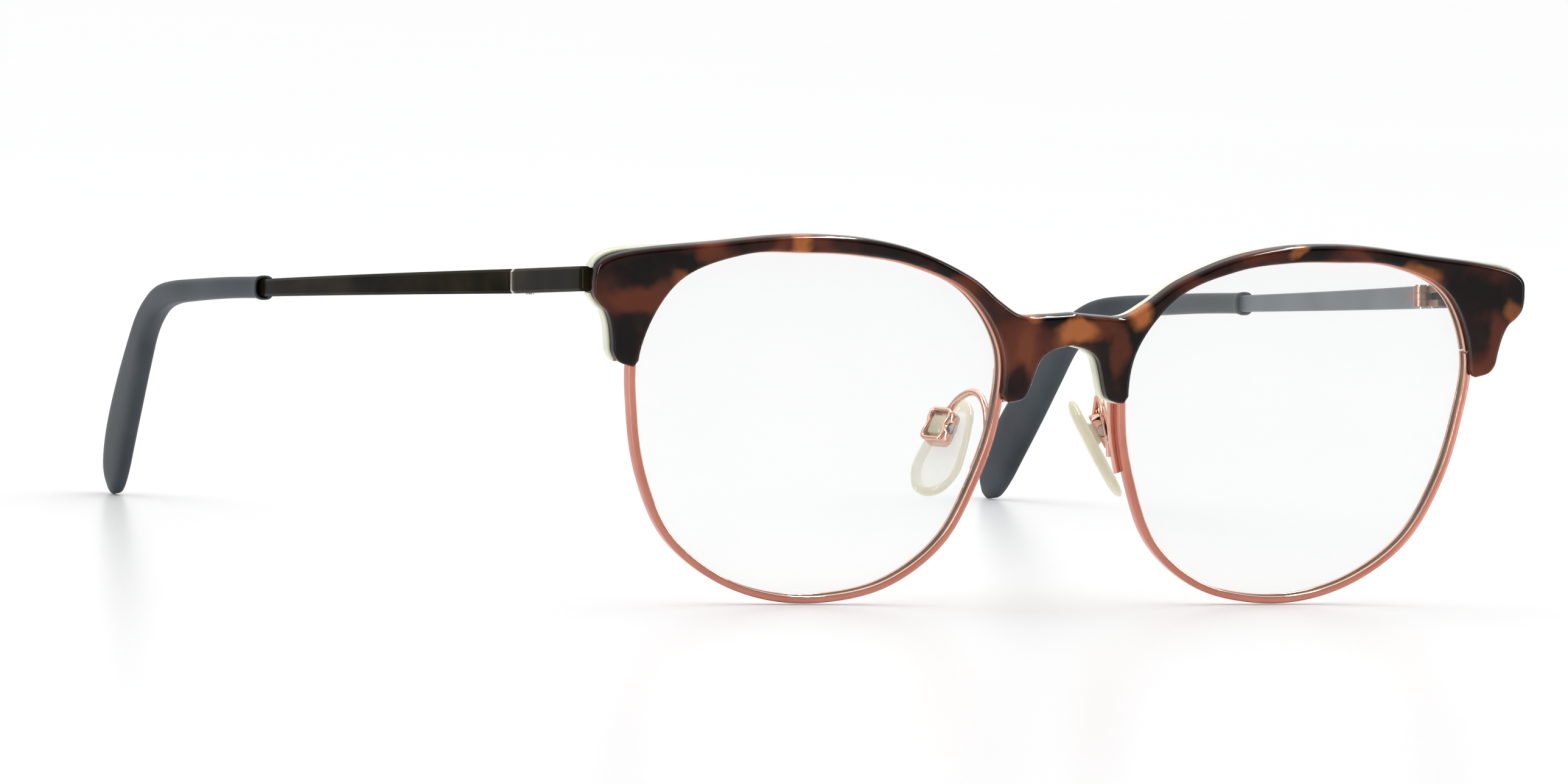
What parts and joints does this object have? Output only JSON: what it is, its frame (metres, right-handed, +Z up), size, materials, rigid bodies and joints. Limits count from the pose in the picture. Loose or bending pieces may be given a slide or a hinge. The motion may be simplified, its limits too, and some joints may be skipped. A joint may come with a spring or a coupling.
{
  "type": "browline eyeglasses",
  "caption": "Browline eyeglasses: tortoiseshell and ivory acetate brow over full metal eyewires, clear lenses, nose pads and folding metal temples with plastic tips.",
  "frame": {"origin": "centre of the bounding box, on the plane that the rims and temple tips rest on", "axes": "+X towards the wearer's left across the front, +Y back towards the ears, +Z up; the front faces -Y"},
  "size_m": [0.1494, 0.1664, 0.0475],
  "materials": {
    "tortoise_acetate": "gloss tortoiseshell acetate",
    "ivory_acetate": "gloss translucent ivory acetate",
    "rose_gold": "satin rose gold plate",
    "lens": "clear demo lens",
    "screw_steel": "plain steel",
    "clear_pad": "clear silicone",
    "black_strip": "gloss black-brown print over steel",
    "hinge_metal": "satin rose grey metal",
    "slate_tip": "matte slate grey plastic"
  },
  "bodies": {
    "front": {"brow_front": "tortoise_acetate", "brow_back": "ivory_acetate", "right_rim": "rose_gold", "left_rim": "rose_gold", "right_lens": "lens", "left_lens": "lens", "right_rim_lock_upper": "rose_gold", "left_rim_lock_upper": "rose_gold", "right_rim_lock_lower": "rose_gold", "left_rim_lock_lower": "rose_gold", "right_rim_lock_screw": "screw_steel", "left_rim_lock_screw": "screw_steel", "right_pad_arm": "rose_gold", "left_pad_arm": "rose_gold", "right_arm_screw": "screw_steel", "left_arm_screw": "screw_steel", "right_pad_box": "rose_gold", "left_pad_box": "rose_gold", "right_pad_screw": "screw_steel", "left_pad_screw": "screw_steel", "right_end_piece": "black_strip", "left_end_piece": "black_strip", "right_anchor_pins": "screw_steel", "left_anchor_pins": "screw_steel", "right_front_hinge_leaf": "hinge_metal", "left_front_hinge_leaf": "hinge_metal", "right_hinge_screw": "screw_steel", "left_hinge_screw": "screw_steel"},
    "right_temple": {"right_temple_hinge_leaf": "hinge_metal", "right_temple": "black_strip", "right_temple_tip": "slate_tip"},
    "left_temple": {"left_temple_hinge_leaf": "hinge_metal", "left_temple": "black_strip", "left_temple_tip": "slate_tip"},
    "right_pad": {"right_nose_pad": "clear_pad"},
    "left_pad": {"left_nose_pad": "clear_pad"}
  },
  "joints": [
    {"name": "left_temple_fold", "type": "hinge", "parent": "front", "child": "left_temple", "pos_m": [0.0639, -0.05632, 0.03883], "axis": [0, 0.0802, 0.9968], "range_deg": [0, 93]},
    {"name": "right_temple_fold", "type": "hinge", "parent": "front", "child": "right_temple", "pos_m": [-0.0639, -0.05632, 0.03883], "axis": [0, -0.0802, -0.9968], "range_deg": [0, 86]},
    {"name": "left_pad_rock", "type": "hinge", "parent": "front", "child": "left_pad", "pos_m": [0.0115, -0.06832, 0.02178], "axis": [0.4226, 0.9063, 0], "range_deg": [-8, 8]},
    {"name": "right_pad_rock", "type": "hinge", "parent": "front", "child": "right_pad", "pos_m": [-0.0115, -0.06832, 0.02178], "axis": [0.4226, -0.9063, 0], "range_deg": [-8, 8]}
  ]
}
